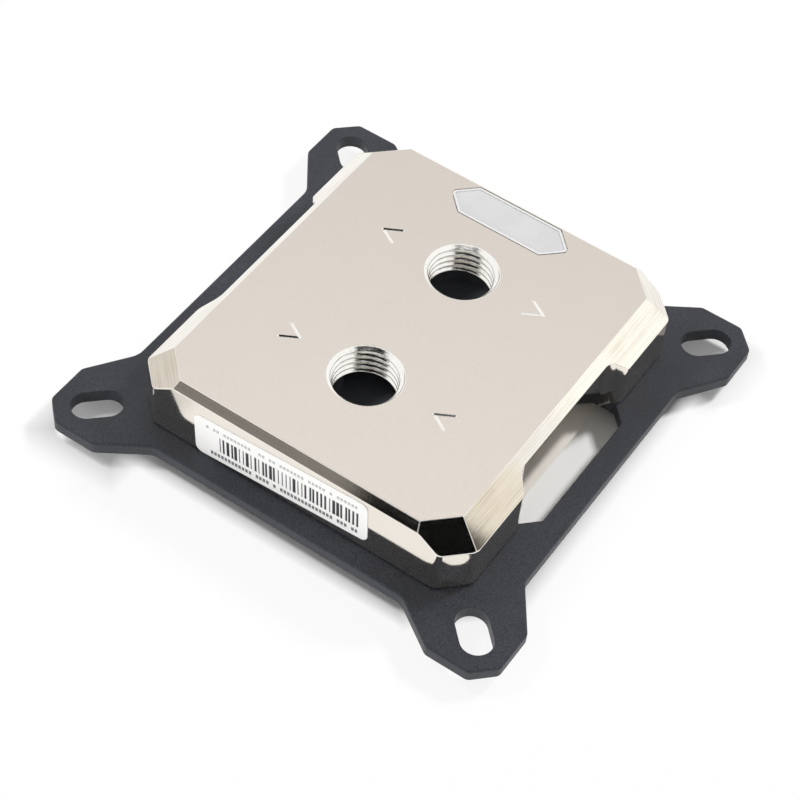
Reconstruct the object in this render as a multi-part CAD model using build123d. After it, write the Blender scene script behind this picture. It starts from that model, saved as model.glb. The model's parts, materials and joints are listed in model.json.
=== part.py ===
from build123d import *
import os
from math import cos, radians, sin, sqrt

# CPU water block, in millimetres. The origin is the middle of the cold plate's underside. +Z is up, and
# +Y runs from the inlet port to the outlet port and on to the badge.

# Layers, from the bottom up
COLD_PLATE_THICKNESS = 5.0
BRACKET_THICKNESS = 2.6
COVER_HEIGHT = 13.5

# Cover: walls, cut corners and 45 degree bevels
COVER_WIDTH = 67.0
COVER_LENGTH = 72.1
COVER_CORNER_LEG = 4.65
COVER_WALL_RADIUS = 2.0
SIDE_BEVEL_DROP = 4.4
END_BEVEL_DROP = 1.4
EDGE_BREAK = 0.25
FOOT_CHAMFER = 0.3

# Recess in the middle of each side wall of the cover
RECESS_DEPTH = 2.6
RECESS_MOUTH_LENGTH = 34.0
RECESS_CUTTER_RADIUS = 3.0
RECESS_LIP_RADIUS = 2.0

# Threaded ports for standard quarter inch fittings
PORT_SPACING = 29.8
PORT_THREAD_DIAMETER = 13.157
PORT_THREAD_DEPTH = 6.5
PORT_MOUTH_CHAMFER = 0.2

# Engraved flow arrows beside the ports
ARROW_PORT_GAP = 13.7
ARROW_LENGTH = 3.1
ARROW_WIDTH = 3.6
ARROW_GROOVE_WIDTH = 0.55
ARROW_GROOVE_DEPTH = 0.28

# Six-sided badge in a pocket at the outlet end of the top face
BADGE_LENGTH = 25.1
BADGE_WIDTH = 7.9
BADGE_THICKNESS = 0.5
BADGE_EDGE_LAND = 0.2
BADGE_TIP_RADIUS = 1.0
BADGE_SHOULDER_RADIUS = 0.3
BADGE_GAP = 0.2
BADGE_RIM_WIDTH = 0.4
BADGE_FIELD_DEPTH = 0.12

# Label on the inlet end wall, stuck on a little askew
LABEL_WIDTH = 35.2
LABEL_HEIGHT = 9.3
LABEL_THICKNESS = 0.1
LABEL_CORNER_RADIUS = 1.4
LABEL_CENTRE_X = -2.2
LABEL_FOOT_GAP = 0.05
LABEL_TILT = 3.6

# Cold plate: set back from the cover's walls, with a field of thin fins milled into its top
PLATE_SIDE_INSET = 5.0
PLATE_END_INSET = 3.55
PLATE_CORNER_RADIUS = 1.0
PLATE_EDGE_CHAMFER = 0.4
FIN_COUNT = 34
FIN_PITCH = 0.8
FIN_GAP = 0.42
FIN_LENGTH = 32.0
FIN_HEIGHT = 2.8

# Countersunk M3 screws, with the thread drawn as a plain shank
SCREW_DIAMETER = 3.0
SCREW_HEAD_DIAMETER = 5.5
SCREW_HEAD_LAND = 0.25
SCREW_HEAD_SINK = 0.15
SCREW_SOCKET_WIDTH = 2.0
SCREW_SOCKET_DEPTH = 1.1
SCREW_ENGAGEMENT = 5.0
SCREW_FIT = 0.05
SCREW_HOLE_CLEARANCE = 0.2
SCREW_TAP_ALLOWANCE = 1.0
BASE_SCREW_EDGE_WALL = 0.75
BRACKET_SCREW_INSET = 3.3
BRACKET_SCREW_LAND = 0.9

# Rubber seal in a groove round the cover's cavity
SEAL_GROOVE_WIDTH = 2.4
SEAL_GROOVE_DEPTH = 1.4
SEAL_SIDE_CLEARANCE = 0.15
SEAL_EDGE_CHAMFER = 0.4
SEAL_INNER_LAND = 1.1
SEAL_OUTER_LAND = 0.35
CAVITY_CORNER_RADIUS = 4.0

# Jet plate and flow insert, stacked in the cavity above the fins
JET_PLATE_THICKNESS = 0.5
JET_SLOT_LENGTH = 24.0
JET_SLOT_WIDTH = 1.0
RETURN_WINDOW_LENGTH = 27.0
RETURN_WINDOW_WIDTH = 3.2
STACK_SIDE_CLEARANCE = 0.1
BOWL_MARGIN = 0.4
BOWL_FLOOR_HEIGHT = 3.2
DUCT_NECK_WIDTH = 9.0
DUCT_WALL = 1.2
RETURN_CHANNEL_WIDTH = 2.6
RETURN_CHANNEL_HEIGHT = 2.0

# Mounting bracket: square plate with four slotted ears and a window beside each side wall
BRACKET_RIM = 4.15
BRACKET_PLATE_CLEARANCE = 0.5
EAR_ROOT = 25.5
EAR_SHOULDER = 34.0
EAR_RIM = 6.0
EAR_TIP_CUT = 3.8
EAR_ROOT_RADIUS = 4.0
EAR_CORNER_RADIUS = 1.5
SLOT_PITCH_MIN = 75.0
SLOT_PITCH_MAX = 80.0
SLOT_WIDTH = 5.8
WINDOW_GAP = 2.5
WINDOW_LENGTH = 32.4
WINDOW_CORNER_CUT = 3.0
WINDOW_CORNER_RADIUS = 0.8
BRACKET_EDGE_RADIUS = 0.4

# Margin by which a cutting body stands past the faces that it cuts
OVERCUT = 1.0

# Heights and half sizes that follow from the sizes above
cover_base = COLD_PLATE_THICKNESS
cover_top = cover_base + COVER_HEIGHT
bracket_base = cover_base - BRACKET_THICKNESS
half_width = COVER_WIDTH / 2
half_length = COVER_LENGTH / 2
corner_reach = half_width + half_length - COVER_CORNER_LEG
port_radius = PORT_THREAD_DIAMETER / 2
port_y = PORT_SPACING / 2
head_radius = SCREW_HEAD_DIAMETER / 2
tap_radius = SCREW_DIAMETER / 2
shank_radius = tap_radius - SCREW_FIT
screw_hole_radius = tap_radius + SCREW_HOLE_CLEARANCE

# The bracket screws stand inside the cover's cut corners, and the cold plate's corners clear their heads.
corner_step = COVER_CORNER_LEG / 2 + BRACKET_SCREW_INSET / sqrt(2)
bracket_screw_x = half_width - corner_step
bracket_screw_y = half_length - corner_step
plate_half_width = half_width - PLATE_SIDE_INSET
plate_half_length = half_length - PLATE_END_INSET
plate_corner_gap = head_radius + BRACKET_SCREW_LAND + BRACKET_PLATE_CLEARANCE
plate_corner_reach = bracket_screw_x + bracket_screw_y - plate_corner_gap * sqrt(2)

# The base screws, the seal groove and the cavity follow one another inwards from the plate's edge.
base_screw_inset = BASE_SCREW_EDGE_WALL + head_radius
groove_inset = base_screw_inset + head_radius + SEAL_OUTER_LAND
cavity_inset = groove_inset + SEAL_GROOVE_WIDTH + SEAL_INNER_LAND
cavity_half_width = plate_half_width - cavity_inset
cavity_half_length = plate_half_length - cavity_inset
cavity_depth = COVER_HEIGHT - PORT_THREAD_DEPTH
groove_outer_radius = CAVITY_CORNER_RADIUS + SEAL_INNER_LAND + SEAL_GROOVE_WIDTH
jet_top = cover_base + JET_PLATE_THICKNESS
insert_height = cavity_depth - JET_PLATE_THICKNESS
return_y = FIN_LENGTH / 2 - RETURN_WINDOW_WIDTH / 2


def octagon(half_x, half_y, reach):
    """Corners, anticlockwise, of a rectangle that is cut at 45 degrees where |x| + |y| passes reach."""
    end_x = reach - half_y
    side_y = reach - half_x
    right = [(end_x, -half_y), (half_x, -side_y), (half_x, side_y), (end_x, half_y)]
    return right + [(-x, -y) for x, y in right]


def rounded_face(points, radius):
    """Flat face inside a closed outline with rounded corners."""
    return make_face(FilletPolyline(*points, radius=radius, close=True))


def prism(face, bottom, top):
    """Upright solid on a flat outline, from one height to another."""
    return Pos(0, 0, bottom) * extrude(face, amount=top - bottom)


def block(width, length, bottom, top, x=0.0, y=0.0):
    """Upright box about a point of the plan."""
    return Pos(x, y, 0) * prism(Rectangle(width, length), bottom, top)


def post(radius, bottom, top, x=0.0, y=0.0):
    """Upright cylinder about a point of the plan."""
    return Pos(x, y, 0) * prism(Circle(radius), bottom, top)


def cone(low_radius, high_radius, bottom, top):
    """Upright cone on the Z axis."""
    body = Cone(low_radius, high_radius, top - bottom, align=(Align.CENTER, Align.CENTER, Align.MIN))
    return Pos(0, 0, bottom) * body


def base_screw_places():
    """Plan places of the eight cold plate screws: the middle of each side and the four corners."""
    side_x = plate_half_width - base_screw_inset
    end_y = plate_half_length - base_screw_inset
    arc_x = cavity_half_width - CAVITY_CORNER_RADIUS
    arc_y = cavity_half_length - CAVITY_CORNER_RADIUS
    corner_line = (plate_corner_reach - arc_x - arc_y) / sqrt(2)
    out = (groove_outer_radius + corner_line) / 2 / sqrt(2)
    places = [(side_x, 0), (0, end_y), (-side_x, 0), (0, -end_y)]
    for sx, sy in ((1, 1), (-1, 1), (-1, -1), (1, -1)):
        places.append((sx * (arc_x + out), sy * (arc_y + out)))
    return places


def bracket_screw_places():
    """Plan places of the four bracket screws, inside the cover's cut corners."""
    return [(sx * bracket_screw_x, sy * bracket_screw_y) for sx in (1, -1) for sy in (1, -1)]


def countersunk_screw(seat, top):
    """Screw with its head down, its flat head face at height seat and its tip at height top."""
    land_top = seat + SCREW_HEAD_LAND
    cone_top = land_top + head_radius - shank_radius
    screw = post(head_radius, seat, land_top)
    screw += cone(head_radius, shank_radius, land_top, cone_top)
    screw += post(shank_radius, cone_top, top)
    socket = RegularPolygon(SCREW_SOCKET_WIDTH / 2, 6, major_radius=False)
    return screw - prism(socket, seat - OVERCUT, seat + SCREW_SOCKET_DEPTH)


def countersunk_hole(bottom, top):
    """Cutting body for one countersunk screw, through a plate from bottom to top."""
    seat_radius = head_radius + SCREW_FIT
    land_top = bottom + SCREW_HEAD_SINK + SCREW_HEAD_LAND
    hole = post(screw_hole_radius, bottom - OVERCUT, top + OVERCUT)
    hole += post(seat_radius, bottom - OVERCUT, land_top)
    hole += cone(seat_radius, screw_hole_radius, land_top, land_top + seat_radius - screw_hole_radius)
    return hole


def screw_set(places, bottom):
    """Identical screws at the given places, sunk into a plate whose underside is at height bottom."""
    screw = countersunk_screw(bottom + SCREW_HEAD_SINK, cover_base + SCREW_ENGAGEMENT)
    return Part() + [Pos(x, y, 0) * screw for x, y in places]


def drill(plate, places, bottom, top):
    """Plate with a countersunk hole at each of the given places."""
    hole = countersunk_hole(bottom, top)
    return plate - [Pos(x, y, 0) * hole for x, y in places]


def cover_wall_face():
    """Plan of the cover's upright walls, with cut corners and a flared recess in each side wall."""
    floor_x = half_width - RECESS_DEPTH
    mouth_y = RECESS_MOUTH_LENGTH / 2
    floor_y = mouth_y - RECESS_DEPTH
    side_y = half_length - COVER_CORNER_LEG
    end_x = half_width - COVER_CORNER_LEG
    wall = COVER_WALL_RADIUS
    lip = RECESS_LIP_RADIUS
    cutter = RECESS_CUTTER_RADIUS
    half = [
        (end_x, -half_length, wall),
        (half_width, -side_y, wall),
        (half_width, -mouth_y, lip),
        (floor_x, -floor_y, cutter),
        (floor_x, floor_y, cutter),
        (half_width, mouth_y, lip),
        (half_width, side_y, wall),
        (end_x, half_length, wall),
    ]
    whole = half + [(-x, -y, r) for x, y, r in half]
    return rounded_face([(x, y) for x, y, r in whole], [r for x, y, r in whole])


def bevel_body():
    """Eight-sided pyramid stump, whose 45 degree flanks are the cover's bevels."""

    def level(drop):
        outline = octagon(
            half_width - SIDE_BEVEL_DROP + drop,
            half_length - END_BEVEL_DROP + drop,
            corner_reach + (drop - SIDE_BEVEL_DROP) * sqrt(2),
        )
        return Pos(0, 0, cover_top - drop) * make_face(Polyline(*outline, close=True))

    return loft([level(COVER_HEIGHT), level(0)], ruled=True)


def arrow_groove(tip_x, tail_x, y):
    """Groove that a pointed cutter leaves along the two arms of one flow arrow."""
    rise = ARROW_GROOVE_DEPTH / 2
    mouth = ARROW_GROOVE_WIDTH / 2 * (1 + rise / ARROW_GROOVE_DEPTH)
    section = Polygon((-mouth, rise), (0, -ARROW_GROOVE_DEPTH), (mouth, rise), align=None)
    point = cone(0, mouth, cover_top - ARROW_GROOVE_DEPTH, cover_top + rise)
    tip = Vector(tip_x, y, cover_top)
    groove = Pos(tip.X, tip.Y, 0) * point
    for side in (1, -1):
        tail = Vector(tail_x, y + side * ARROW_WIDTH / 2, cover_top)
        arm = tail - tip
        cross_plane = Plane(origin=tip, x_dir=Vector(0, 0, 1).cross(arm), z_dir=arm)
        groove += extrude(cross_plane * section, amount=arm.length)
        groove += Pos(tail.X, tail.Y, 0) * point
    return groove


def flow_arrows():
    """Four arrows: into the inlet port from both sides, and out of the outlet port to both sides."""
    near = ARROW_PORT_GAP
    far = ARROW_PORT_GAP + ARROW_LENGTH
    grooves = [arrow_groove(side * near, side * far, -port_y) for side in (1, -1)]
    grooves += [arrow_groove(side * far, side * near, port_y) for side in (1, -1)]
    return grooves


def badge_face(inset):
    """Six-sided outline of the badge pocket, drawn in by an inset."""
    half_l = BADGE_LENGTH / 2
    half_w = BADGE_WIDTH / 2
    shoulder = half_l - half_w
    centre_y = half_length - END_BEVEL_DROP - BADGE_EDGE_LAND - half_w
    points = [
        (half_l, centre_y),
        (shoulder, centre_y + half_w),
        (-shoulder, centre_y + half_w),
        (-half_l, centre_y),
        (-shoulder, centre_y - half_w),
        (shoulder, centre_y - half_w),
    ]
    tip = BADGE_TIP_RADIUS
    blunt = BADGE_SHOULDER_RADIUS
    face = rounded_face(points, [tip, blunt, blunt, tip, blunt, blunt])
    return offset(face, -inset)


def cavity_face(growth, radius):
    """Rounded rectangle of the cover's cavity, grown by an amount, with the given corner radius."""
    return RectangleRounded(2 * (cavity_half_width + growth), 2 * (cavity_half_length + growth), radius)


def stack_face():
    """Plan of the pieces that stack in the cavity, clear of its walls."""
    return cavity_face(-STACK_SIDE_CLEARANCE, CAVITY_CORNER_RADIUS - STACK_SIDE_CLEARANCE)


def make_cover():
    """Machined cover: bevelled octagon with ports, arrows, badge pocket, cavity and seal groove."""
    cover = prism(cover_wall_face(), cover_base, cover_top) & bevel_body()
    sloped_or_level = cover.edges().filter_by(Axis.Z, reverse=True)
    above_foot = sloped_or_level.filter_by(lambda edge: edge.center().Z > cover_base + EDGE_BREAK)
    cover = fillet(above_foot, EDGE_BREAK)
    foot = cover.faces().sort_by(Axis.Z)[0].outer_wire().edges()
    cover = chamfer(foot, FOOT_CHAMFER)
    mouth = cone(port_radius, port_radius + PORT_MOUTH_CHAMFER, cover_top - PORT_MOUTH_CHAMFER, cover_top)
    bore = post(port_radius, cover_base, cover_top + OVERCUT) + mouth
    cover -= [Pos(0, y, 0) * bore for y in (port_y, -port_y)]
    cover -= flow_arrows()
    cover -= prism(badge_face(0), cover_top - BADGE_THICKNESS, cover_top + OVERCUT)
    cover -= prism(cavity_face(0, CAVITY_CORNER_RADIUS), cover_base - OVERCUT, cover_base + cavity_depth)
    cover -= prism(seal_face(0), cover_base - OVERCUT, cover_base + SEAL_GROOVE_DEPTH)
    tap_top = cover_base + SCREW_ENGAGEMENT + SCREW_TAP_ALLOWANCE
    for x, y in base_screw_places() + bracket_screw_places():
        cover -= post(tap_radius, cover_base - OVERCUT, tap_top, x, y)
    return cover


def make_badge():
    """Badge plate with a raised rim round a sunk field."""
    plate = prism(badge_face(BADGE_GAP), cover_top - BADGE_THICKNESS, cover_top)
    field = badge_face(BADGE_GAP + BADGE_RIM_WIDTH)
    return plate - prism(field, cover_top - BADGE_FIELD_DEPTH, cover_top + OVERCUT)


def make_label():
    """Thin label with rounded corners, flat on the inlet end wall."""
    tilt = radians(LABEL_TILT)
    reach = LABEL_HEIGHT / 2 * cos(tilt) + LABEL_WIDTH / 2 * sin(tilt)
    centre = (LABEL_CENTRE_X, -half_length, cover_base + reach + LABEL_FOOT_GAP)
    wall = Plane(origin=centre, x_dir=(cos(tilt), 0, sin(tilt)), z_dir=(0, -1, 0))
    outline = RectangleRounded(LABEL_WIDTH, LABEL_HEIGHT, LABEL_CORNER_RADIUS)
    return extrude(wall * outline, amount=LABEL_THICKNESS)


def seal_face(clearance):
    """Ring between the two walls of the seal groove, drawn in from both by a clearance."""
    inner = SEAL_INNER_LAND + clearance
    outer = SEAL_INNER_LAND + SEAL_GROOVE_WIDTH - clearance
    ring = cavity_face(outer, CAVITY_CORNER_RADIUS + outer)
    return ring - cavity_face(inner, CAVITY_CORNER_RADIUS + inner)


def make_seal():
    """Rubber ring, drawn as pressed flat between the groove's roof and the cold plate."""
    ring = prism(seal_face(SEAL_SIDE_CLEARANCE), cover_base, cover_base + SEAL_GROOVE_DEPTH)
    flat = ring.faces().sort_by(Axis.Z)
    return chamfer(flat[0].edges() + flat[-1].edges(), SEAL_EDGE_CHAMFER)


def make_cold_plate():
    """Base plate with cut corners, countersunk holes and the milled fin field."""
    corners = octagon(plate_half_width, plate_half_length, plate_corner_reach)
    plate = prism(rounded_face(corners, PLATE_CORNER_RADIUS), 0, COLD_PLATE_THICKNESS)
    plate = chamfer(plate.faces().sort_by(Axis.Z)[0].edges(), PLATE_EDGE_CHAMFER)
    plate = drill(plate, base_screw_places(), 0, COLD_PLATE_THICKNESS)
    first_x = -FIN_PITCH * FIN_COUNT / 2
    floor = COLD_PLATE_THICKNESS - FIN_HEIGHT
    gap = block(FIN_GAP, FIN_LENGTH, floor, COLD_PLATE_THICKNESS + OVERCUT)
    return plate - [Pos(first_x + index * FIN_PITCH, 0, 0) * gap for index in range(FIN_COUNT + 1)]


def make_jet_plate():
    """Thin plate over the fins, with the inlet slot in its middle and a return window at each end."""
    face = stack_face()
    face -= SlotOverall(JET_SLOT_LENGTH, JET_SLOT_WIDTH)
    for y in (return_y, -return_y):
        face -= Pos(0, y) * Rectangle(RETURN_WINDOW_LENGTH, RETURN_WINDOW_WIDTH)
    return prism(face, cover_base, jet_top)


def make_flow_insert():
    """Flow guide: inlet bowl and fan duct down to the jet slot, return channels to the outlet bowl."""
    top = jet_top + insert_height
    floor = jet_top + BOWL_FLOOR_HEIGHT
    bowl_radius = port_radius + BOWL_MARGIN
    insert = prism(stack_face(), jet_top, top)
    insert -= [post(bowl_radius, floor, top + OVERCUT, 0, y) for y in (port_y, -port_y)]
    neck = DUCT_NECK_WIDTH / 2
    mouth = JET_SLOT_LENGTH / 2
    end = JET_SLOT_WIDTH / 2 + DUCT_WALL
    half = [(neck, -port_y), (mouth, -end), (mouth, end)]
    fan = Polygon(*half, *[(-x, y) for x, y in reversed(half)], align=None)
    insert -= prism(fan, floor, top + OVERCUT)
    insert -= prism(SlotOverall(JET_SLOT_LENGTH, JET_SLOT_WIDTH), jet_top - OVERCUT, top)
    channel_top = jet_top + RETURN_CHANNEL_HEIGHT
    channel_x = RETURN_WINDOW_LENGTH / 2 + RETURN_CHANNEL_WIDTH / 2
    channel_width = RETURN_WINDOW_LENGTH + 2 * RETURN_CHANNEL_WIDTH
    for y in (return_y, -return_y):
        insert -= block(channel_width, RETURN_WINDOW_WIDTH, jet_top - OVERCUT, channel_top, 0, y)
    for x in (channel_x, -channel_x):
        insert -= block(RETURN_CHANNEL_WIDTH, 2 * return_y, jet_top - OVERCUT, channel_top, x)
    insert -= block(2 * neck, RETURN_WINDOW_WIDTH, jet_top - OVERCUT, floor + OVERCUT, 0, return_y)
    return insert


def bracket_outline():
    """Plan of the bracket: a square whose four corners swell into ears with cut tips."""
    side = half_length + BRACKET_RIM
    ear = SLOT_PITCH_MAX / 2 + EAR_RIM
    quarter = [
        (side, EAR_ROOT, EAR_ROOT_RADIUS),
        (ear, EAR_SHOULDER, EAR_CORNER_RADIUS),
        (ear, ear - EAR_TIP_CUT, EAR_CORNER_RADIUS),
        (ear - EAR_TIP_CUT, ear, EAR_CORNER_RADIUS),
        (EAR_SHOULDER, ear, EAR_CORNER_RADIUS),
        (EAR_ROOT, side, EAR_ROOT_RADIUS),
    ]
    corners = []
    for turn in range(4):
        corners += quarter
        quarter = [(-y, x, r) for x, y, r in quarter]
    return rounded_face([(x, y) for x, y, r in corners], [r for x, y, r in corners])


def bracket_openings():
    """Plan of what is cut out of the bracket: cold plate opening, side windows and ear slots."""
    clear = BRACKET_PLATE_CLEARANCE
    reach = plate_corner_reach + clear * sqrt(2)
    corners = octagon(plate_half_width + clear, plate_half_length + clear, reach)
    opening = rounded_face(corners, PLATE_CORNER_RADIUS + clear)
    outer = half_width + WINDOW_GAP
    long = WINDOW_LENGTH / 2
    cut = WINDOW_CORNER_CUT
    half = [(outer - cut, -long), (outer, cut - long), (outer, long - cut), (outer - cut, long)]
    openings = opening + rounded_face(half + [(-x, -y) for x, y in half], WINDOW_CORNER_RADIUS)
    middle = (SLOT_PITCH_MIN + SLOT_PITCH_MAX) / 4
    travel = (SLOT_PITCH_MAX - SLOT_PITCH_MIN) / sqrt(2)
    for sx in (1, -1):
        for sy in (1, -1):
            slot = SlotCenterToCenter(travel, SLOT_WIDTH, rotation=45 * sx * sy)
            openings += Pos(sx * middle, sy * middle) * slot
    return openings


def make_bracket():
    """Flat bracket with softened outer edges and four countersunk holes."""
    plate = prism(bracket_outline(), bracket_base, cover_base)
    flat = plate.faces().sort_by(Axis.Z)
    plate = fillet(flat[0].edges() + flat[-1].edges(), BRACKET_EDGE_RADIUS)
    plate -= prism(bracket_openings(), bracket_base - OVERCUT, cover_base + OVERCUT)
    return drill(plate, bracket_screw_places(), bracket_base, cover_base)


PIECES = {
    "top_cover": make_cover,
    "top_badge": make_badge,
    "side_label": make_label,
    "mounting_bracket": make_bracket,
    "cold_plate": make_cold_plate,
    "flow_insert": make_flow_insert,
    "jet_plate": make_jet_plate,
    "main_seal": make_seal,
    "base_screws": lambda: screw_set(base_screw_places(), 0),
    "bracket_screws": lambda: screw_set(bracket_screw_places(), bracket_base),
}

os.makedirs("parts", exist_ok=True)
for name, make in PIECES.items():
    export_step(make(), f"parts/{name}.step")
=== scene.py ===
"""One CPU water block, dressed: nickel, black coat, badge, label, port threads, studio and camera."""

import json
import logging
import math
from dataclasses import dataclass
from enum import Enum, IntEnum
from typing import Any

import bmesh
import bpy
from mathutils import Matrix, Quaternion, Vector


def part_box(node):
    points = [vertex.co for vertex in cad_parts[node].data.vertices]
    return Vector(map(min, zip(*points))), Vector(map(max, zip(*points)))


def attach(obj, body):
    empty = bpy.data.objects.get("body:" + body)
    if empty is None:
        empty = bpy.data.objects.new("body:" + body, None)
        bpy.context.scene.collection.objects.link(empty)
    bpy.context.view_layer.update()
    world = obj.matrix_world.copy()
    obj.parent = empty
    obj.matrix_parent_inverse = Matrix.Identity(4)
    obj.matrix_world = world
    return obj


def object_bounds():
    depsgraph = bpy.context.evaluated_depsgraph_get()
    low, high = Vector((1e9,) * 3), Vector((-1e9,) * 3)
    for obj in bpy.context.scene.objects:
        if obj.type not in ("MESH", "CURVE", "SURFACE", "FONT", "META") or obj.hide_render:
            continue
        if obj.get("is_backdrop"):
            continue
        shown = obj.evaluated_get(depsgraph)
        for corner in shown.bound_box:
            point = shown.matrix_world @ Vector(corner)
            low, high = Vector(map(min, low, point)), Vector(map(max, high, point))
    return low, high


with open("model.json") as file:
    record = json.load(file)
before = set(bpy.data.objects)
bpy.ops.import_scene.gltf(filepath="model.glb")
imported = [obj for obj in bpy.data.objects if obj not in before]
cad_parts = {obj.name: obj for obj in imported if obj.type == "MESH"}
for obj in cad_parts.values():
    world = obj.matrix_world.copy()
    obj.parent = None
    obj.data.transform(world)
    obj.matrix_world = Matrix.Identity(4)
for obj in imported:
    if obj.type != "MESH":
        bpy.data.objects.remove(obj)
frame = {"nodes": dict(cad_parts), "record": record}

Socket = bpy.types.NodeSocket
Colour = tuple[float, float, float]
Span = tuple[float, float]

LOG = logging.getLogger("water_block")
MM = 0.001
ROOT = "root"

# Number of finer layers in a noise: for clouds and soft grain, for plain grain, and for brush lines.
SOFT_DETAIL = 2.0
PLAIN_DETAIL = 3.0
LINE_DETAIL = 4.0

WHITE: Colour = (1.0, 1.0, 1.0)
FLAG_BLACK: Colour = (0.01, 0.01, 0.01)
DEEP_BLACK: Colour = (0.002, 0.002, 0.002)


class CoverFace(Enum):
    """Kinds of face on the cover, each with its own finish; bevels, walls and cuts also get a painted
    highlight in their colour.
    """

    TOP = 0
    BEVEL = 1
    WALL = 2
    CUT = 3


class Port(Enum):
    """The two threaded ports, by the names of their mounts."""

    INLET = "inlet_port"
    OUTLET = "outlet_port"


class MixSocket(IntEnum):
    """Places of the colour sockets on a Mix node, which has sockets for other kinds of data too."""

    FACTOR = 0
    LOW = 6
    HIGH = 7
    RESULT = 2


class NodeSheet:
    """Node tree of a material or of the world, with short calls for the nodes that they share."""

    def __init__(self, tree: bpy.types.NodeTree) -> None:
        """Start with the tree empty.

        Args:
            tree: The node tree.
        """
        self.tree = tree
        self.tree.nodes.clear()

    def node(self, kind: str, **inputs: Any) -> bpy.types.Node:
        """Add a node and fill its inputs.

        Args:
            kind: Blender's type name of the node.
            **inputs: Values or sockets by input name, with underscores for blanks.

        Returns:
            The new node.
        """
        made = self.tree.nodes.new(kind)
        for label, value in inputs.items():
            self.fill(made.inputs[label.replace("_", " ")], value)
        return made

    def fill(self, target: Socket, value: Any) -> None:
        """Link a socket into a target, or set the target to a plain value.

        Args:
            target: Input socket.
            value: Output socket, number, vector or colour.
        """
        if isinstance(value, Socket):
            self.tree.links.new(value, target)
        elif target.type == "RGBA":
            target.default_value = (*value, 1.0)
        else:
            target.default_value = value

    def math(self, operation: str, first: Any, second: Any = 0.0) -> Socket:
        """Add one step of arithmetic.

        Args:
            operation: Name of the operation.
            first: First number or socket.
            second: Second number or socket.

        Returns:
            The result's socket.
        """
        made = self.tree.nodes.new("ShaderNodeMath")
        made.operation = operation
        self.fill(made.inputs[0], first)
        self.fill(made.inputs[1], second)
        return made.outputs[0]

    def cross(self, first: Any, second: Any) -> Socket:
        """Give the direction square to two others.

        Args:
            first: First direction or socket.
            second: Second direction or socket.

        Returns:
            The direction's socket.
        """
        made = self.tree.nodes.new("ShaderNodeVectorMath")
        made.operation = "CROSS_PRODUCT"
        self.fill(made.inputs[0], first)
        self.fill(made.inputs[1], second)
        return made.outputs[0]

    def place(self, stretch: tuple[float, float, float] | None = None) -> Socket:
        """Give the point on the object, which may be stretched along its axes.

        Args:
            stretch: Factor on each axis, or None for the plain point.

        Returns:
            The vector's socket.
        """
        point = self.node("ShaderNodeTexCoord").outputs["Object"]
        if stretch is None:
            return point
        return self.node("ShaderNodeMapping", Vector=point, Scale=stretch).outputs[0]

    def noise(self, vector: Socket, grain: float, detail: float) -> Socket:
        """Add a noise from 0 to 1.

        Args:
            vector: Where it is read.
            grain: Size of its grain, in metres.
            detail: Number of finer layers.

        Returns:
            The noise's socket.
        """
        made = self.node("ShaderNodeTexNoise", Vector=vector, Scale=1.0 / grain, Detail=detail)
        return made.outputs[0]

    def between(self, factor: Socket, low: float, high: float) -> Socket:
        """Map a number from 0 to 1 onto a range.

        Args:
            factor: The number.
            low: Result at 0.
            high: Result at 1.

        Returns:
            The mapped number's socket.
        """
        made = self.node("ShaderNodeMapRange", Value=factor, To_Min=low, To_Max=high)
        return made.outputs[0]

    def spread(self, factor: Socket, start: float, end: float) -> Socket:
        """Stretch part of a number's range to the whole span from 0 to 1.

        Args:
            factor: The number.
            start: Where the result is 0.
            end: Where the result is 1.

        Returns:
            The stretched number's socket.
        """
        made = self.node("ShaderNodeMapRange", Value=factor, From_Min=start, From_Max=end)
        return made.outputs[0]

    def mix(self, factor: Socket, low: Any, high: Any) -> Socket:
        """Mix two colours.

        Args:
            factor: 0 for the first, 1 for the second.
            low: First colour or socket.
            high: Second colour or socket.

        Returns:
            The mixed colour's socket.
        """
        made = self.tree.nodes.new("ShaderNodeMix")
        made.data_type = "RGBA"
        self.fill(made.inputs[MixSocket.FACTOR], factor)
        self.fill(made.inputs[MixSocket.LOW], low)
        self.fill(made.inputs[MixSocket.HIGH], high)
        return made.outputs[MixSocket.RESULT]

    def show(self, shader: bpy.types.Node, output_kind: str) -> None:
        """Link a shader to the tree's output.

        Args:
            shader: Node of the shader.
            output_kind: Blender's type name of the output node.
        """
        output = self.tree.nodes.new(output_kind)
        self.fill(output.inputs["Surface"], shader.outputs[0])


class ShaderSheet(NodeSheet):
    """Node tree of one new material."""

    def __init__(self, name: str) -> None:
        """Start an empty material.

        Args:
            name: Name of the material.
        """
        self.material = bpy.data.materials.new(name)
        self.material.use_nodes = True
        super().__init__(self.material.node_tree)

    def bump(self, height: Socket, depth: float, edge: float = 0.0) -> Socket:
        """Turn a height from 0 to 1 into a normal.

        Args:
            height: The height.
            depth: Its full depth, in metres.
            edge: Radius of the softened edges, in metres, or 0 for sharp ones.

        Returns:
            The normal's socket.
        """
        made = self.node("ShaderNodeBump", Strength=1.0, Distance=depth, Height=height)
        if edge:
            self.fill(made.inputs["Normal"], self.node("ShaderNodeBevel", Radius=edge).outputs[0])
        return made.outputs[0]

    def uphill(self) -> Socket:
        """Give the direction up the slope of the surface, across brush lines that run level.

        Returns:
            The direction's socket.
        """
        normal = self.node("ShaderNodeNewGeometry").outputs["Normal"]
        level = self.cross((0.0, 0.0, 1.0), normal)
        return self.cross(normal, level)

    def close(self, shader: bpy.types.Node) -> bpy.types.Material:
        """End the material with a shader.

        Args:
            shader: Node of the shader.

        Returns:
            The finished material.
        """
        self.show(shader, "ShaderNodeOutputMaterial")
        return self.material

    def surface(self, **inputs: Any) -> bpy.types.Material:
        """End the material with one principled shader.

        Args:
            **inputs: Values or sockets by input name, with underscores for blanks.

        Returns:
            The finished material.
        """
        return self.close(self.node("ShaderNodeBsdfPrincipled", **inputs))


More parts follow.
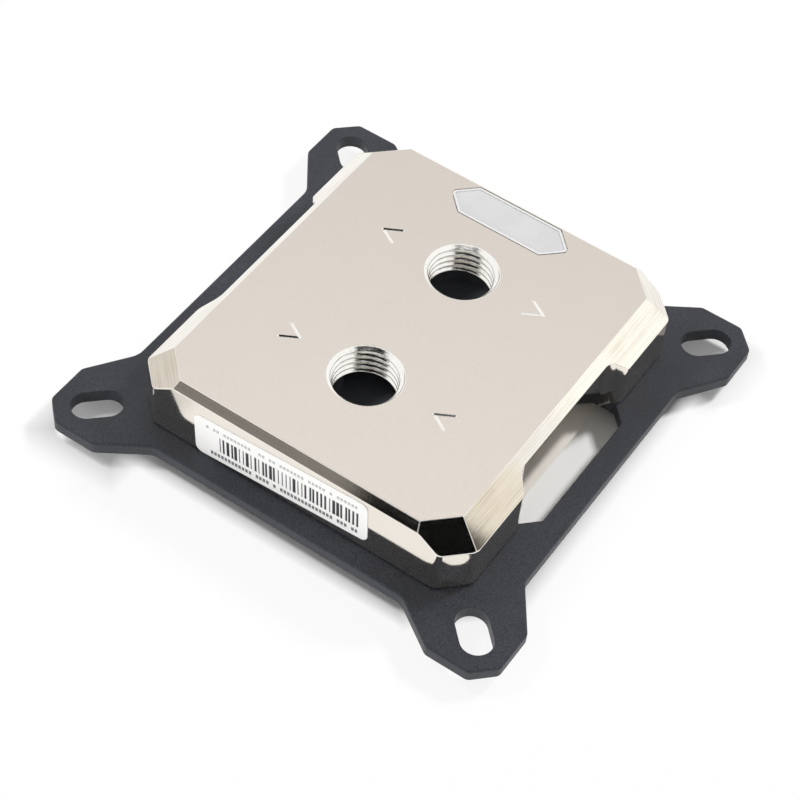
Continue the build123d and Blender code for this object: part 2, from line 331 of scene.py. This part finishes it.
@dataclass(frozen=True)
class NickelFinish:
    """Bright nickel plate, with brushing that runs level round the faces it is on."""

    name: str
    colour: Colour
    shade: Colour
    roughness: Span
    line_width: float
    line_length: float
    line_depth: float
    line_contrast: Span = (0.30, 0.70)
    cloud_size: float = 9.0 * MM
    cloud_contrast: Span = (0.20, 0.70)
    anisotropy: float = 0.0
    edge: float = 0.12 * MM

    def material(self) -> bpy.types.Material:
        """Build the plated metal.

        Returns:
            The material.
        """
        sheet = ShaderSheet(self.name)
        level = self.line_width / self.line_length
        lines = sheet.noise(sheet.place((level, level, 1.0)), self.line_width, LINE_DETAIL)
        lines = sheet.spread(lines, *self.line_contrast)
        cloud = sheet.noise(sheet.place(), self.cloud_size, SOFT_DETAIL)
        cloud = sheet.spread(cloud, *self.cloud_contrast)
        tone = sheet.math("MULTIPLY", lines, cloud)
        return sheet.surface(
            Base_Color=sheet.mix(tone, self.colour, self.shade),
            Metallic=1.0,
            Roughness=sheet.between(lines, *self.roughness),
            Anisotropic=self.anisotropy,
            Normal=sheet.bump(lines, self.line_depth, self.edge),
            Tangent=sheet.uphill(),
        )


@dataclass(frozen=True)
class BlackCoat:
    """Matte black coat on the bracket, with a fine leathery grain."""

    name: str = "black_coat"
    colour: Colour = (0.0085, 0.0098, 0.0138)
    bright: Colour = (0.0425, 0.0465, 0.0610)
    grain: float = 0.27 * MM
    grain_contrast: Span = (0.32, 0.68)
    grain_depth: float = 0.04 * MM
    patch_size: float = 14.0 * MM
    patch_contrast: Span = (0.10, 0.70)
    edge: float = 0.25 * MM
    roughness: Span = (0.34, 0.54)
    specular_level: float = 0.5

    def material(self) -> bpy.types.Material:
        """Build the coat.

        Returns:
            The material.
        """
        sheet = ShaderSheet(self.name)
        place = sheet.place()
        grain = sheet.spread(sheet.noise(place, self.grain, SOFT_DETAIL), *self.grain_contrast)
        patches = sheet.spread(sheet.noise(place, self.patch_size, SOFT_DETAIL), *self.patch_contrast)
        speck = sheet.math("MULTIPLY", grain, patches)
        return sheet.surface(
            Base_Color=sheet.mix(speck, self.colour, self.bright),
            Roughness=sheet.between(grain, *self.roughness),
            Specular_IOR_Level=self.specular_level,
            Normal=sheet.bump(grain, self.grain_depth, self.edge),
        )


@dataclass(frozen=True)
class FrostedPlate:
    """Frosted pale metal of the badge, finely grained."""

    name: str = "badge_plate"
    colour: Colour = (0.70, 0.705, 0.70)
    shade: Colour = (0.60, 0.605, 0.60)
    cloud_size: float = 4.0 * MM
    grain: float = 0.12 * MM
    grain_depth: float = 0.008 * MM
    metallic: float = 0.35
    roughness: Span = (0.38, 0.55)

    def material(self) -> bpy.types.Material:
        """Build the frosted plate.

        Returns:
            The material.
        """
        sheet = ShaderSheet(self.name)
        place = sheet.place()
        grain = sheet.noise(place, self.grain, SOFT_DETAIL)
        cloud = sheet.noise(place, self.cloud_size, SOFT_DETAIL)
        return sheet.surface(
            Base_Color=sheet.mix(cloud, self.colour, self.shade),
            Metallic=self.metallic,
            Roughness=sheet.between(grain, *self.roughness),
            Normal=sheet.bump(grain, self.grain_depth),
        )


@dataclass(frozen=True)
class PlainFinish:
    """Evenly coloured stuff with a fine grain: plastic, rubber, steel or bright rim."""

    name: str
    colour: Colour
    shade: Colour
    roughness: Span
    grain: float
    grain_depth: float
    metallic: float = 0.0

    def material(self) -> bpy.types.Material:
        """Build the finish.

        Returns:
            The material.
        """
        sheet = ShaderSheet(self.name)
        grain = sheet.noise(sheet.place(), self.grain, PLAIN_DETAIL)
        return sheet.surface(
            Base_Color=sheet.mix(grain, self.colour, self.shade),
            Metallic=self.metallic,
            Roughness=sheet.between(grain, *self.roughness),
            Normal=sheet.bump(grain, self.grain_depth),
        )


@dataclass(frozen=True)
class LabelPrint:
    """White film with a field of plain bars between two rows of plain blocks."""

    centre: Vector
    tilt: float
    name: str = "label_print"
    film: Colour = (0.91, 0.905, 0.89)
    ink: Colour = (0.03, 0.03, 0.035)
    pale_ink: Colour = (0.50, 0.50, 0.49)
    dark_ink: Colour = (0.17, 0.17, 0.175)
    bar_unit: float = 0.20 * MM
    bar_span: Span = (-12.4 * MM, 15.9 * MM)
    bar_rise: Span = (-2.0 * MM, 1.55 * MM)
    bar_cycle: float = 4.0
    inked_beat: float = 2.0
    bare_share: float = 0.55
    bar_seed: float = 17.0
    block_unit: float = 0.72 * MM
    block_width: float = 0.72
    missing_share: float = 0.16
    row_span: Span = (-15.2 * MM, 15.6 * MM)
    upper_row: Span = (2.55 * MM, 3.25 * MM)
    upper_seed: float = 5.0
    lower_row: Span = (-3.65 * MM, -2.80 * MM)
    lower_seed: float = 41.0
    grain: float = 0.2 * MM
    grain_depth: float = 0.002 * MM
    roughness: Span = (0.32, 0.42)

    @staticmethod
    def inside(sheet: ShaderSheet, value: Socket, span: Span) -> Socket:
        """Give 1 where a number lies in a span, and 0 elsewhere.

        Args:
            sheet: The node tree.
            value: The number.
            span: Its lower and upper end.

        Returns:
            The test's socket.
        """
        above = sheet.math("GREATER_THAN", value, span[0])
        below = sheet.math("LESS_THAN", value, span[1])
        return sheet.math("MULTIPLY", above, below)

    @staticmethod
    def chance(sheet: ShaderSheet, cell: Socket, seed: float) -> Socket:
        """Give each cell of a row its own number from 0 to 1.

        Args:
            sheet: The node tree.
            cell: Whole number of the cell.
            seed: Number that picks the pattern.

        Returns:
            The cell's number.
        """
        made = sheet.tree.nodes.new("ShaderNodeTexWhiteNoise")
        made.noise_dimensions = "1D"
        sheet.fill(made.inputs["W"], sheet.math("ADD", cell, seed))
        return made.outputs["Value"]

    def bars(self, sheet: ShaderSheet, run: Socket) -> Socket:
        """Draw upright bars: of every four cells one is bare, one is inked and two go by chance.

        Args:
            sheet: The node tree.
            run: Place along the label.

        Returns:
            1 on the bars, 0 between them.
        """
        cell = sheet.math("FLOOR", sheet.math("DIVIDE", run, self.bar_unit))
        beat = sheet.math("FLOORED_MODULO", cell, self.bar_cycle)
        past_first = sheet.math("GREATER_THAN", beat, 0.5)
        drawn = sheet.math("GREATER_THAN", self.chance(sheet, cell, self.bar_seed), self.bare_share)
        drawn = sheet.math("MULTIPLY", drawn, past_first)
        return sheet.math("MAXIMUM", drawn, sheet.math("COMPARE", beat, self.inked_beat))

    def blocks(self, sheet: ShaderSheet, run: Socket, seed: float) -> Socket:
        """Draw a row of plain blocks with some left out by chance.

        Args:
            sheet: The node tree.
            run: Place along the label.
            seed: Number that picks the pattern.

        Returns:
            1 on the blocks, 0 between them.
        """
        place = sheet.math("DIVIDE", run, self.block_unit)
        luck = self.chance(sheet, sheet.math("FLOOR", place), seed)
        drawn = sheet.math("GREATER_THAN", luck, self.missing_share)
        block = sheet.math("LESS_THAN", sheet.math("FLOORED_MODULO", place, 1.0), self.block_width)
        return sheet.math("MULTIPLY", drawn, block)

    def material(self) -> bpy.types.Material:
        """Build the printed film.

        Returns:
            The material.
        """
        sheet = ShaderSheet(self.name)
        turned = sheet.node(
            "ShaderNodeVectorRotate", Vector=sheet.place(), Center=tuple(self.centre), Angle=self.tilt
        )
        turned.rotation_type = "Y_AXIS"
        axes = sheet.node("ShaderNodeSeparateXYZ", Vector=turned.outputs[0])
        run = sheet.math("SUBTRACT", axes.outputs["X"], self.centre.x)
        rise = sheet.math("SUBTRACT", axes.outputs["Z"], self.centre.z)
        prints = (
            (self.bar_span, self.bar_rise, self.bars(sheet, run), self.ink),
            (self.row_span, self.upper_row, self.blocks(sheet, run, self.upper_seed), self.pale_ink),
            (self.row_span, self.lower_row, self.blocks(sheet, run, self.lower_seed), self.dark_ink),
        )
        colour: Any = self.film
        for span, row, drawn, ink in prints:
            field = sheet.math("MULTIPLY", self.inside(sheet, run, span), self.inside(sheet, rise, row))
            colour = sheet.mix(sheet.math("MULTIPLY", field, drawn), colour, ink)
        grain = sheet.noise(sheet.place(), self.grain, SOFT_DETAIL)
        return sheet.surface(
            Base_Color=colour,
            Roughness=sheet.between(grain, *self.roughness),
            Normal=sheet.bump(grain, self.grain_depth),
        )


TOP_NICKEL = NickelFinish(
    name="nickel_top",
    colour=(0.732, 0.669, 0.609),
    shade=(0.716, 0.653, 0.593),
    roughness=(0.16, 0.21),
    line_width=0.2 * MM,
    line_length=0.6 * MM,
    line_depth=0.0002 * MM,
)
# Brushed nickel of the bevels: the brushing is real, and its colour, set brighter than the top's, is a
# painted highlight.
BRUSHED_NICKEL_WITH_PAINTED_HIGHLIGHT = NickelFinish(
    name="nickel_bevel_painted_highlight",
    colour=(0.97, 0.945, 0.885),
    shade=(0.70, 0.645, 0.56),
    roughness=(0.05, 0.11),
    line_width=0.11 * MM,
    line_length=14.0 * MM,
    line_depth=0.0012 * MM,
    anisotropy=0.6,
)
# Polished nickel of the walls: the polish is real, and its colour, set brighter than the top's, is a painted
# highlight.
POLISHED_NICKEL_WITH_PAINTED_HIGHLIGHT = NickelFinish(
    name="nickel_wall_painted_highlight",
    colour=(0.90, 0.845, 0.765),
    shade=(0.87, 0.81, 0.73),
    roughness=(0.05, 0.08),
    line_width=0.3 * MM,
    line_length=9.0 * MM,
    line_depth=0.0008 * MM,
)
# Nickel of the cuts in the top face: the cuts are real, and their colour, set brighter than the top's, is a
# painted highlight.
CUT_NICKEL_WITH_PAINTED_HIGHLIGHT = NickelFinish(
    name="nickel_cut_painted_highlight",
    colour=(0.97, 0.955, 0.92),
    shade=(0.93, 0.90, 0.86),
    roughness=(0.08, 0.14),
    line_width=0.1 * MM,
    line_length=2.0 * MM,
    line_depth=0.001 * MM,
)
THREAD_NICKEL = NickelFinish(
    name="nickel_thread",
    colour=(0.97, 0.955, 0.92),
    shade=(0.86, 0.83, 0.78),
    roughness=(0.09, 0.18),
    line_width=0.10 * MM,
    line_length=0.5 * MM,
    line_depth=0.006 * MM,
)
LAPPED_NICKEL = NickelFinish(
    name="nickel_base",
    colour=(0.80, 0.755, 0.69),
    shade=(0.72, 0.67, 0.60),
    roughness=(0.10, 0.18),
    line_width=0.3 * MM,
    line_length=12.0 * MM,
    line_depth=0.001 * MM,
)
BLACK_PLASTIC = PlainFinish(
    name="black_plastic",
    colour=(0.100, 0.106, 0.120),
    shade=(0.116, 0.123, 0.138),
    roughness=(0.08, 0.14),
    grain=0.8 * MM,
    grain_depth=0.003 * MM,
)
BLACK_RUBBER = PlainFinish(
    name="black_rubber",
    colour=(0.020, 0.020, 0.021),
    shade=(0.032, 0.032, 0.033),
    roughness=(0.6, 0.75),
    grain=0.3 * MM,
    grain_depth=0.01 * MM,
)
RIM_METAL = PlainFinish(
    name="badge_rim",
    colour=(0.93, 0.93, 0.93),
    shade=(0.88, 0.88, 0.885),
    roughness=(0.10, 0.16),
    grain=0.4 * MM,
    grain_depth=0.001 * MM,
    metallic=1.0,
)
JET_STEEL = PlainFinish(
    name="jet_steel",
    colour=(0.60, 0.60, 0.60),
    shade=(0.52, 0.52, 0.52),
    roughness=(0.25, 0.38),
    grain=0.2 * MM,
    grain_depth=0.002 * MM,
    metallic=1.0,
)
SCREW_STEEL = PlainFinish(
    name="screw_steel",
    colour=(0.58, 0.57, 0.56),
    shade=(0.46, 0.45, 0.44),
    roughness=(0.22, 0.36),
    grain=0.2 * MM,
    grain_depth=0.003 * MM,
    metallic=1.0,
)


def dress_node(node: str, *materials: bpy.types.Material) -> bpy.types.Object:
    """Give a CAD node its materials.

    Args:
        node: Name of the node.
        *materials: Materials, in the order of their places.

    Returns:
        The node's object.
    """
    piece = frame["nodes"][node]
    piece.data.materials.clear()
    for material in materials:
        piece.data.materials.append(material)
    LOG.info("dressed %s with %s", node, [material.name for material in materials])
    return piece


def finish_mesh(name: str, mesh: bmesh.types.BMesh) -> bpy.types.Mesh:
    """Turn a mesh under construction into a finished one.

    Args:
        name: Name of the finished mesh.
        mesh: Mesh under construction, which is used up.

    Returns:
        The finished mesh.
    """
    data = bpy.data.meshes.new(name)
    mesh.to_mesh(data)
    mesh.free()
    return data


def put_in_scene(name: str, data: bpy.types.ID) -> bpy.types.Object:
    """Make an object and put it in the scene.

    Args:
        name: Name of the object.
        data: Its mesh, lamp or camera.

    Returns:
        The new object.
    """
    made = bpy.data.objects.new(name, data)
    bpy.context.scene.collection.objects.link(made)
    return made


def add_piece(name: str, mesh: bpy.types.Mesh, material: bpy.types.Material) -> bpy.types.Object:
    """Put a new mesh on the part.

    Args:
        name: Name of the piece.
        mesh: Its mesh, in the part's frame.
        material: Its material.

    Returns:
        The new object.
    """
    piece = put_in_scene(name, mesh)
    mesh.materials.append(material)
    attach(piece, ROOT)
    LOG.info("added %s with %d faces", name, len(mesh.polygons))
    return piece


@dataclass
class PortThread:
    """Right-handed pipe thread in one port, as a sleeve on the bore's wall."""

    port: Port
    pitch: float = 1.337 * MM
    ridge: float = 0.856 * MM
    countersink: float = 0.2 * MM
    lip: float = 0.01 * MM
    lead_slope: float = 1.73
    depth: float = 6.45 * MM
    seat: float = 0.02 * MM
    roundness: float = 0.95
    turn_steps: int = 160
    pitch_steps: int = 16

    def bore(self) -> tuple[Vector, float]:
        """Read the port's place and bore from the record.

        Returns:
            Middle of the bore's span, and its radius.
        """
        mount = next(m for m in frame["record"]["mounts"] if m["name"] == self.port.value)
        return Vector(mount["pos_m"]), mount["dims"]["r_mm"] * MM

    def radius(self, bore: float, drop: float, turn: float) -> float:
        """Give the thread's radius at one point.

        Args:
            bore: Radius of the bore.
            drop: Depth below the top face.
            turn: Share of a turn about the port's axis.

        Returns:
            The radius.
        """
        wave = math.sin(math.tau * (drop / self.pitch + turn))
        shape = math.asin(self.roundness * wave) / math.asin(self.roundness)
        thread = bore - self.seat - self.ridge / 2 * (1 - shape)
        lead = bore + self.countersink - self.lip - self.lead_slope * drop
        return max(thread, lead)

    def backing(self, bore: float, drop: float) -> float:
        """Give the radius of the sleeve's hidden side, just inside the cover's metal.

        Args:
            bore: Radius of the bore.
            drop: Depth below the top face.

        Returns:
            The radius.
        """
        return bore + max(self.countersink - drop, 0.0) + self.seat

    def build(self) -> bpy.types.Object:
        """Build the sleeve: threaded inside, plain outside, closed by a ring at each end.

        Returns:
            The thread's object.
        """
        middle, bore = self.bore()
        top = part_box("top_cover")[1].z
        levels = round(self.depth / self.pitch * self.pitch_steps)
        drops = [self.lip + (self.depth - self.lip) * i / levels for i in range(levels + 1)]
        turns = [i / self.turn_steps for i in range(self.turn_steps)]
        mesh = bmesh.new()
        rings = []
        for drop in drops:
            radii = [self.radius(bore, drop, turn) for turn in turns]
            rings.append(self.ring(mesh, middle, top - drop, radii))
        for drop in reversed(drops):
            radii = [self.backing(bore, drop)] * self.turn_steps
            rings.append(self.ring(mesh, middle, top - drop, radii))
        for ring, following in zip(rings, rings[1:] + rings[:1]):
            for i in range(self.turn_steps):
                j = (i + 1) % self.turn_steps
                face = mesh.faces.new((ring[i], following[i], following[j], ring[j]))
                face.smooth = True
        bmesh.ops.recalc_face_normals(mesh, faces=mesh.faces)
        name = f"{self.port.value}_thread"
        return add_piece(name, finish_mesh(name, mesh), THREAD_NICKEL.material())

    def ring(
        self, mesh: bmesh.types.BMesh, middle: Vector, height: float, radii: list[float]
    ) -> list[bmesh.types.BMVert]:
        """Add one ring of points round the port's axis.

        Args:
            mesh: Mesh under construction.
            middle: A point on the axis.
            height: Height of the ring.
            radii: Radius of each point, in equal steps of a whole turn.

        Returns:
            The ring's points.
        """
        points = []
        for i, radius in enumerate(radii):
            angle = math.tau * i / self.turn_steps
            x = middle.x + radius * math.cos(angle)
            y = middle.y + radius * math.sin(angle)
            points.append(mesh.verts.new((x, y, height)))
        return points


@dataclass
class Cover:
    """The machined cover, with a finish for each kind of face, and the threads of its two ports; the nickel
    of its bevels, walls and cuts is set brighter than the top's, a painted highlight.
    """

    node: str = "top_cover"
    level_slope: float = 0.97
    bevel_slope: float = 0.30
    cut_depth: float = 0.5 * MM
    cut_span: float = 24.0 * MM

    def kind(self, face: bpy.types.MeshPolygon, top: float) -> CoverFace:
        """Sort a face by its slope and place.

        Args:
            face: Face of the cover.
            top: Height of the top face.

        Returns:
            The kind of face.
        """
        at_top = face.center.z > top - self.cut_depth
        if at_top and face.normal.z > self.level_slope:
            return CoverFace.TOP
        if at_top and max(abs(face.center.x), abs(face.center.y)) < self.cut_span:
            return CoverFace.CUT
        if face.normal.z > self.bevel_slope:
            return CoverFace.BEVEL
        return CoverFace.WALL

    def dress(self) -> None:
        """Give each face of the cover its finish, with the painted highlight in the colour of bevels, walls
        and cuts.
        """
        finishes_with_painted_highlights = {
            CoverFace.TOP: TOP_NICKEL,
            CoverFace.BEVEL: BRUSHED_NICKEL_WITH_PAINTED_HIGHLIGHT,
            CoverFace.WALL: POLISHED_NICKEL_WITH_PAINTED_HIGHLIGHT,
            CoverFace.CUT: CUT_NICKEL_WITH_PAINTED_HIGHLIGHT,
        }
        piece = dress_node(self.node, *[finishes_with_painted_highlights[kind].material() for kind in CoverFace])
        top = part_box(self.node)[1].z
        for face in piece.data.polygons:
            face.material_index = self.kind(face, top).value

    def build(self) -> None:
        """Cut the threads of both ports."""
        for port in Port:
            PortThread(port).build()


@dataclass
class Trim:
    """What is set into or stuck onto the cover: the bare badge and the printed label."""

    badge: str = "top_badge"
    label: str = "side_label"
    label_tilt: float = math.radians(3.6)
    rim_depth: float = 0.02 * MM

    def dress(self) -> None:
        """Frost the badge inside its bright rim, and print the label."""
        plate = dress_node(self.badge, FrostedPlate().material(), RIM_METAL.material())
        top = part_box(self.badge)[1].z
        for face in plate.data.polygons:
            face.material_index = int(face.center.z > top - self.rim_depth)
        low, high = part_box(self.label)
        dress_node(self.label, LabelPrint((low + high) / 2, self.label_tilt).material())


@dataclass
class Bracket:
    """The black mounting bracket."""

    node: str = "mounting_bracket"

    def dress(self) -> None:
        """Coat the bracket."""
        dress_node(self.node, BlackCoat().material())


@dataclass
class CoolingCore:
    """Everything below and inside the cover."""

    plate: str = "cold_plate"
    insert: str = "flow_insert"
    jet: str = "jet_plate"
    seal: str = "main_seal"
    screws: tuple[str, ...] = ("base_screws", "bracket_screws")

    def dress(self) -> None:
        """Give each inner piece its finish."""
        dress_node(self.plate, LAPPED_NICKEL.material())
        dress_node(self.insert, BLACK_PLASTIC.material())
        dress_node(self.jet, JET_STEEL.material())
        dress_node(self.seal, BLACK_RUBBER.material())
        steel = SCREW_STEEL.material()
        for screws in self.screws:
            dress_node(screws, steel)


@dataclass(frozen=True)
class Flag:
    """Flag or bright panel bent round the part, that only mirrored rays see.

    Its azimuth runs from the part's south side by way of its east side, and both angles are in degrees.
    """

    name: str
    azimuth: Span
    elevation: Span
    colour: Colour
    upper_colour: Colour | None = None
    reach: float = 0.47
    steps: int = 24

    def point(self, across: float, up: float) -> Vector:
        """Give a point of the flag.

        Args:
            across: Share of its width.
            up: Share of its height.

        Returns:
            The point.
        """
        azimuth = math.radians(self.azimuth[0] + across * (self.azimuth[1] - self.azimuth[0]))
        elevation = math.radians(self.elevation[0] + up * (self.elevation[1] - self.elevation[0]))
        level = math.cos(elevation)
        outward = Vector((level * math.sin(azimuth), -level * math.cos(azimuth), math.sin(elevation)))
        return self.reach * outward

    def material(self) -> bpy.types.Material:
        """Make the flag's glow, which may change from its lower to its upper edge.

        Returns:
            The material.
        """
        sheet = ShaderSheet(self.name)
        colour: Any = self.colour
        if self.upper_colour:
            height = sheet.node("ShaderNodeSeparateXYZ", Vector=sheet.place()).outputs["Z"]
            rise = sheet.spread(height, self.point(0.0, 0.0).z, self.point(0.0, 1.0).z)
            colour = sheet.mix(rise, self.colour, self.upper_colour)
        return sheet.close(sheet.node("ShaderNodeEmission", Color=colour, Strength=1.0))

    def build(self) -> bpy.types.Object:
        """Hang the flag up.

        Returns:
            The flag.
        """
        mesh = bmesh.new()
        shares = [i / self.steps for i in range(self.steps + 1)]
        grid = [[mesh.verts.new(self.point(across, up)) for across in shares] for up in shares]
        for low, high in zip(grid, grid[1:]):
            for i in range(self.steps):
                mesh.faces.new((low[i], low[i + 1], high[i + 1], high[i]))
        data = finish_mesh(self.name, mesh)
        flag = put_in_scene(self.name, data)
        flag.visible_camera = False
        flag.visible_diffuse = False
        flag.visible_shadow = False
        data.materials.append(self.material())
        flag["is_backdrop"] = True
        return flag


@dataclass(frozen=True)
class Lamp:
    """Square soft lamp that faces the part and that metal doesn't mirror."""

    name: str
    place: Vector
    side: float
    power: float

    def build(self) -> bpy.types.Object:
        """Hang the lamp.

        Returns:
            The lamp.
        """
        data = bpy.data.lights.new(self.name, "AREA")
        data.shape = "SQUARE"
        data.size = self.side
        data.energy = self.power
        lamp = put_in_scene(self.name, data)
        lamp.location = self.place
        lamp.rotation_euler = (-self.place).to_track_quat("-Z", "Y").to_euler()
        lamp.visible_glossy = False
        return lamp


LAMPS = (
    Lamp("key_lamp", place=Vector((0.235, 0.49, 0.53)), side=0.12, power=4.5),
    Lamp("fill_lamp", place=Vector((-0.05, -0.85, 0.16)), side=0.25, power=3.7),
    Lamp("side_lamp", place=Vector((-0.237, -0.10, 0.332)), side=0.08, power=0.6),
)
FLAGS = (
    Flag(
        "sky_panel",
        azimuth=(180.0, 244.0),
        elevation=(38.0, 62.0),
        colour=(0.885, 0.885, 0.89),
        upper_colour=(1.10, 1.10, 1.095),
    ),
    Flag("bright_panel", azimuth=(125.0, 146.0), elevation=(4.0, 24.0), colour=(1.15, 1.15, 1.10)),
    Flag("warm_panel", azimuth=(100.0, 122.0), elevation=(6.0, 24.0), colour=(0.90, 0.84, 0.74)),
    Flag(
        "brown_flag",
        azimuth=(106.0, 118.5),
        elevation=(6.0, 24.0),
        colour=(0.02, 0.016, 0.012),
        reach=0.465,
    ),
    Flag("west_panel", azimuth=(-98.0, -66.0), elevation=(1.0, 14.0), colour=(0.74, 0.70, 0.655)),
    Flag("strip_black_flag", azimuth=(-17.2, -8.0), elevation=(24.5, 37.0), colour=DEEP_BLACK),
    Flag("strip_grey_flag", azimuth=(-33.5, -17.2), elevation=(24.5, 37.0), colour=(0.222, 0.206, 0.195)),
    Flag("corner_flag", azimuth=(50.5, 63.5), elevation=(23.0, 45.0), colour=DEEP_BLACK),
    Flag("camera_card", azimuth=(12.0, 36.0), elevation=(33.0, 52.0), colour=FLAG_BLACK, reach=0.40),
    Flag("high_flag", azimuth=(-36.0, 79.0), elevation=(50.5, 74.0), colour=FLAG_BLACK),
)


@dataclass
class Studio:
    """Plain pale floor, soft light all round, three soft lamps, and flags for the metal to mirror.

    The floor's own glow starts and reaches its full strength at the distances from the part's middle that
    the fields ending in start and full give: all round, beside the rails between the ears, and off the
    corners, of which two opposite ones glow less.
    """

    floor_name: str = "studio_floor"
    floor_side: float = 6.0
    floor_colour: Colour = (0.90, 0.90, 0.895)
    ambient: float = 0.25
    floor_glow: float = 0.88
    glow_start: float = 0.043
    glow_full: float = 0.050
    rail_start: float = 0.0395
    rail_full: float = 0.0425
    ear_start: float = 0.027
    ear_full: float = 0.033
    corner_start: float = 0.045
    corner_full: float = 0.050
    dim_corner: float = 0.176

    @staticmethod
    def seen_or_mirrored(sheet: NodeSheet) -> Socket:
        """Tell the rays that see a surface, directly or in a mirror, from those that light by it.

        Args:
            sheet: Node tree of a material or of the world.

        Returns:
            1 for camera, glossy and transmission rays.
        """
        path = sheet.node("ShaderNodeLightPath")
        seen = sheet.math("MAXIMUM", path.outputs["Is Camera Ray"], path.outputs["Is Glossy Ray"])
        return sheet.math("MAXIMUM", seen, path.outputs["Is Transmission Ray"])

    def build_world(self) -> None:
        """Surround the part with white that shows at full strength and lights more softly."""
        world = bpy.data.worlds.new("studio_world")
        bpy.context.scene.world = world
        world.use_nodes = True
        sheet = NodeSheet(world.node_tree)
        strength = sheet.between(self.seen_or_mirrored(sheet), self.ambient, 1.0)
        back = sheet.node("ShaderNodeBackground", Color=WHITE, Strength=strength)
        sheet.show(back, "ShaderNodeOutputWorld")

    def corner_glow(self, sheet: ShaderSheet, operation: str, axes: bpy.types.Node) -> Socket:
        """Let the glow rise along one diagonal of the floor.

        Args:
            sheet: Node tree of the floor.
            operation: SUBTRACT for the diagonal through south-east, ADD for the one through north-east.
            axes: Node that gives the place on the floor.

        Returns:
            The share of glow.
        """
        slant = sheet.math("ABSOLUTE", sheet.math(operation, axes.outputs["X"], axes.outputs["Y"]))
        slant = sheet.math("MULTIPLY", slant, math.sqrt(0.5))
        return sheet.spread(slant, self.corner_start, self.corner_full)

    def glow_share(self, sheet: ShaderSheet) -> Socket:
        """Let the floor's own glow rise outside the part, so that the shadow there stays faint.

        Args:
            sheet: Node tree of the floor.

        Returns:
            The share of glow.
        """
        axes = sheet.node("ShaderNodeSeparateXYZ", Vector=sheet.place())
        across = sheet.math("ABSOLUTE", axes.outputs["X"])
        along = sheet.math("ABSOLUTE", axes.outputs["Y"])
        outward = sheet.math("MAXIMUM", across, along)
        beyond = sheet.spread(outward, self.glow_start, self.glow_full)
        between_ears = sheet.spread(sheet.math("MINIMUM", across, along), self.ear_full, self.ear_start)
        beside = sheet.math("MULTIPLY", sheet.spread(outward, self.rail_start, self.rail_full), between_ears)
        full_corners = self.corner_glow(sheet, "SUBTRACT", axes)
        dim_corners = sheet.math("MULTIPLY", self.corner_glow(sheet, "ADD", axes), self.dim_corner)
        share = beyond
        for glow in (beside, full_corners, dim_corners):
            share = sheet.math("MAXIMUM", share, glow)
        return sheet.math("MULTIPLY", share, self.floor_glow)

    def floor_material(self) -> bpy.types.Material:
        """Make the floor matte, with a glow of its own for the rays that see it.

        Returns:
            The material.
        """
        sheet = ShaderSheet(self.floor_name)
        matte = sheet.node("ShaderNodeBsdfDiffuse", Color=self.floor_colour)
        glow = sheet.node("ShaderNodeEmission", Color=WHITE, Strength=1.0)
        share = sheet.math("MULTIPLY", self.seen_or_mirrored(sheet), self.glow_share(sheet))
        both = sheet.tree.nodes.new("ShaderNodeMixShader")
        for place, source in enumerate((share, matte.outputs[0], glow.outputs[0])):
            sheet.fill(both.inputs[place], source)
        return sheet.close(both)

    def build_floor(self) -> None:
        """Lay the floor under the part."""
        mesh = bmesh.new()
        bmesh.ops.create_grid(mesh, x_segments=1, y_segments=1, size=self.floor_side / 2)
        data = finish_mesh(self.floor_name, mesh)
        floor = put_in_scene(self.floor_name, data)
        floor.location.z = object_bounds()[0].z
        data.materials.append(self.floor_material())
        floor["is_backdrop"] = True

    def build(self) -> None:
        """Set up the world, the floor, the lamps and the flags."""
        bpy.context.scene.view_settings.view_transform = "Standard"
        self.build_world()
        self.build_floor()
        for lamp in LAMPS:
            lamp.build()
        for flag in FLAGS:
            flag.build()


@dataclass(frozen=True)
class CameraStand:
    """Camera at the photograph's place, aimed at the floor under the part."""

    place: Vector = Vector((124.40, -229.55, 314.62)) * MM
    aim: Vector = Vector((0.21, -2.49, 0.0)) * MM
    roll: float = math.radians(6.83)
    lens: float = 103.45
    sensor: float = 36.0
    nearest: float = 0.01

    def build(self) -> bpy.types.Object:
        """Set up the camera and make it the scene's own.

        Returns:
            The camera.
        """
        data = bpy.data.cameras.new("camera")
        data.lens = self.lens
        data.sensor_width = self.sensor
        data.clip_start = self.nearest
        camera = put_in_scene("camera", data)
        camera.location = self.place
        camera.rotation_mode = "QUATERNION"
        level = (self.aim - self.place).to_track_quat("-Z", "Y")
        camera.rotation_quaternion = level @ Quaternion((0.0, 0.0, 1.0), self.roll)
        bpy.context.scene.camera = camera
        return camera


def main() -> None:
    """Dress the part, add its fine pieces and set up the studio and the camera."""
    logging.basicConfig(level=logging.INFO, format="%(name)s: %(message)s")
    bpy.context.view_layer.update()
    cover = Cover()
    cover.dress()
    cover.build()
    Trim().dress()
    Bracket().dress()
    CoolingCore().dress()
    Studio().build()
    CameraStand().build()


if __name__ == "__main__":
    main()
